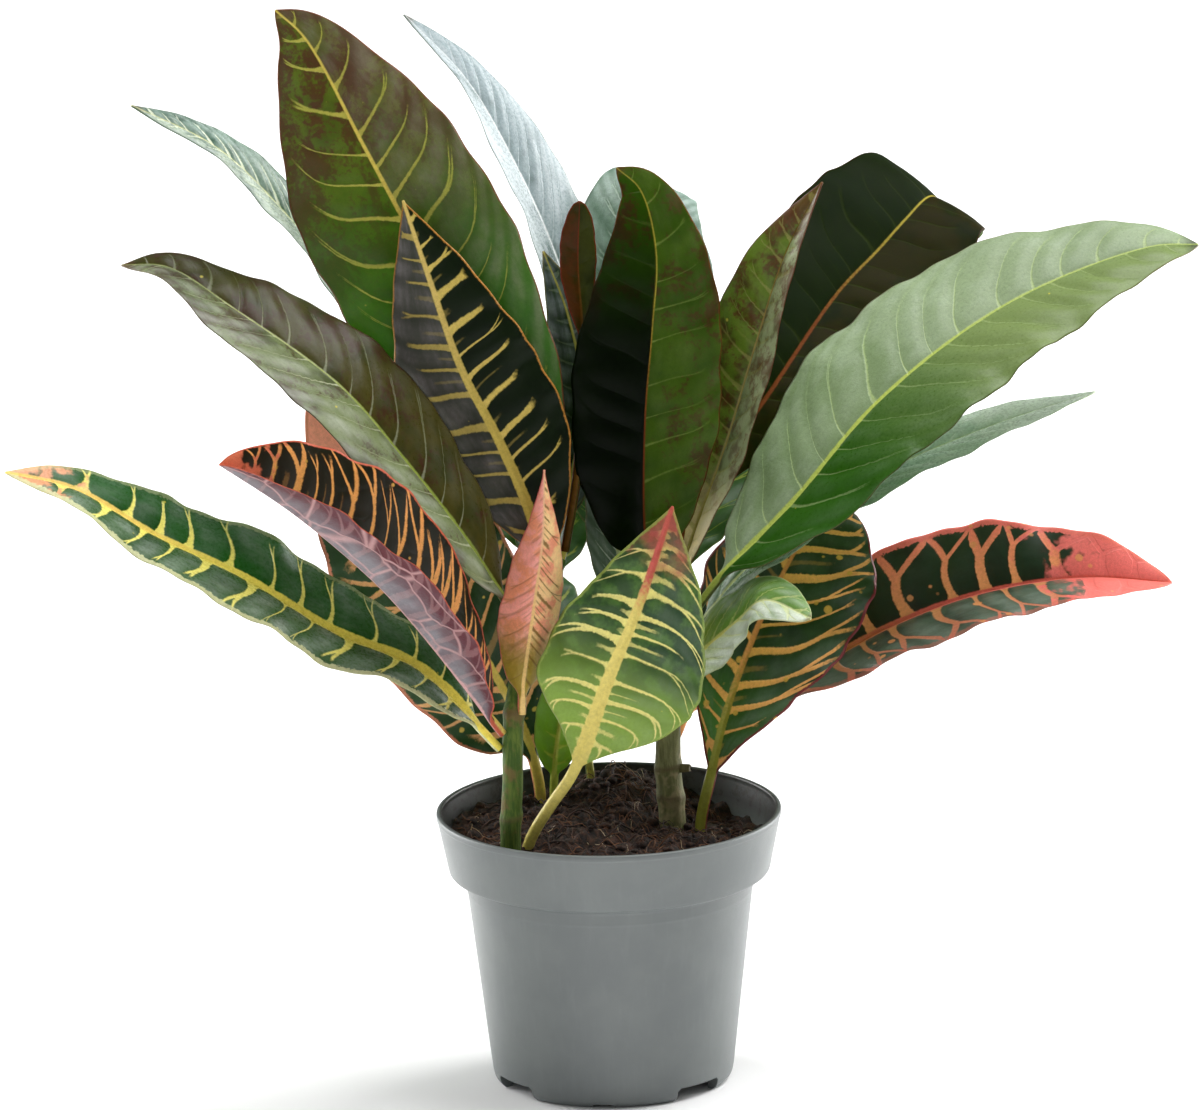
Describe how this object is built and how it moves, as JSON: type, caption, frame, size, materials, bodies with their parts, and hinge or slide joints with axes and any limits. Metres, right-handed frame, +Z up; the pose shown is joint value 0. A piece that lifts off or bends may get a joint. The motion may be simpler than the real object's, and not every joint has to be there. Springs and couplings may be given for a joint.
{
  "type": "potted croton",
  "caption": "Croton house plant with large mottled leaves on woody stems, growing in peat in a tapered plastic grow pot.",
  "frame": {"origin": "on the ground, under the middle of the box that the whole plant fills; the pot's axis stands at x -1.5 mm, y -29.8 mm", "axes": "+Z up, -Y towards the front that the picture shows, +X to its right"},
  "size_m": [0.4154, 0.2454, 0.3744],
  "materials": {
    "pot": "grey satin plastic",
    "soil": "dark moist peat with brown fibres",
    "stem_green": "green bark with pale highlights",
    "stem_grey": "grey-green bark with scars",
    "leaf_olive": "olive green with maroon mottle and yellow veins",
    "leaf_silver": "pale silver green with a soft sheen",
    "leaf_dark": "near black green with yellow veins",
    "leaf_green": "mid green with pale veins",
    "leaf_yellow": "green with broad yellow veins",
    "leaf_coral": "dark green with coral, orange and pink veins and margins",
    "leaf_maroon": "dark maroon"
  },
  "bodies": {
    "root": {"pot": "pot", "soil": "soil", "stem_left": "stem_green", "stem_right": "stem_grey", "leaf_tall_left": "leaf_olive", "leaf_edge_left": "leaf_silver", "leaf_dark_veined": "leaf_dark", "leaf_olive_left": "leaf_olive", "leaf_silver_back": "leaf_silver", "leaf_maroon_young": "leaf_maroon", "leaf_blue_back": "leaf_silver", "leaf_centre": "leaf_green", "leaf_folded_right": "leaf_olive", "leaf_dark_arched": "leaf_dark", "leaf_broad_right": "leaf_silver", "leaf_under_right": "leaf_silver", "leaf_coral_right": "leaf_coral", "leaf_orange_right": "leaf_coral", "leaf_short_right": "leaf_green", "leaf_front": "leaf_yellow", "leaf_pink_curled": "leaf_coral", "leaf_folded_left": "leaf_coral", "leaf_low_left": "leaf_yellow", "leaf_pink_tip_left": "leaf_coral", "leaf_inner_green": "leaf_green", "leaf_inner_striped": "leaf_dark", "leaf_inner_glossy": "leaf_dark", "leaf_rear_left_high": "leaf_green", "leaf_rear_left_middle": "leaf_green", "leaf_rear_right_low": "leaf_green", "leaf_rear_middle": "leaf_green", "leaf_rear_right_middle": "leaf_green", "leaf_rear_right_high": "leaf_green"}
  },
  "joints": []
}
